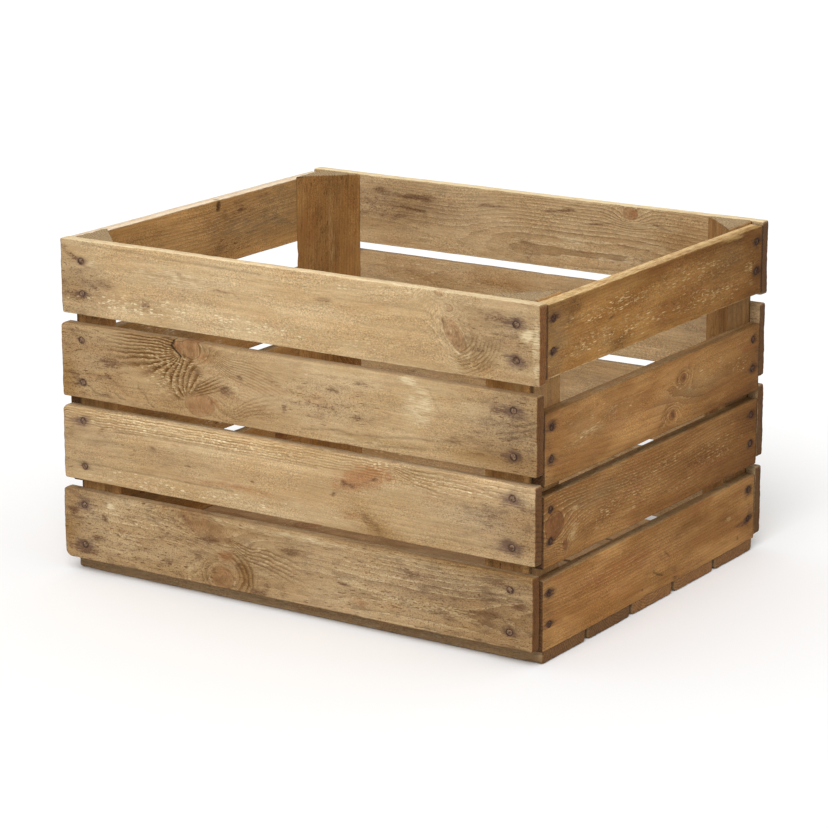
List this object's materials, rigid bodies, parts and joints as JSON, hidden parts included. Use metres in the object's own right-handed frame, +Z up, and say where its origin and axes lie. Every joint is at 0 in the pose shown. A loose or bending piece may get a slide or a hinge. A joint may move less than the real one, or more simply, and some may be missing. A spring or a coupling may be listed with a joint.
{
  "type": "wooden crate",
  "caption": "Open-topped nailed softwood harvest crate with spaced slats on triangular corner posts, a boarded floor and a hand-hold gap in each end.",
  "frame": {"origin": "on the ground, under the middle of the crate", "axes": "+X along the length towards the right end, +Y towards the back, +Z up"},
  "size_m": [0.503, 0.405, 0.31],
  "materials": {
    "side_slat_wood": "weathered sawn softwood",
    "end_slat_wood": "weathered sawn softwood",
    "post_wood": "weathered sawn softwood",
    "floor_wood": "weathered sawn softwood",
    "nail_steel": "dull, lightly rusted"
  },
  "bodies": {
    "root": {"front_bottom_slat": "side_slat_wood", "front_lower_slat": "side_slat_wood", "front_upper_slat": "side_slat_wood", "front_top_slat": "side_slat_wood", "back_bottom_slat": "side_slat_wood", "back_lower_slat": "side_slat_wood", "back_upper_slat": "side_slat_wood", "back_top_slat": "side_slat_wood", "left_end_bottom_slat": "end_slat_wood", "left_end_lower_slat": "end_slat_wood", "left_end_upper_slat": "end_slat_wood", "left_end_top_slat": "end_slat_wood", "right_end_bottom_slat": "end_slat_wood", "right_end_lower_slat": "end_slat_wood", "right_end_upper_slat": "end_slat_wood", "right_end_top_slat": "end_slat_wood", "front_left_post": "post_wood", "front_right_post": "post_wood", "back_left_post": "post_wood", "back_right_post": "post_wood", "floor_board_1": "floor_wood", "floor_board_2": "floor_wood", "floor_board_3": "floor_wood", "floor_board_4": "floor_wood", "floor_board_5": "floor_wood", "front_nails": "nail_steel", "back_nails": "nail_steel", "left_end_nails": "nail_steel", "right_end_nails": "nail_steel", "floor_nails": "nail_steel"}
  },
  "joints": []
}
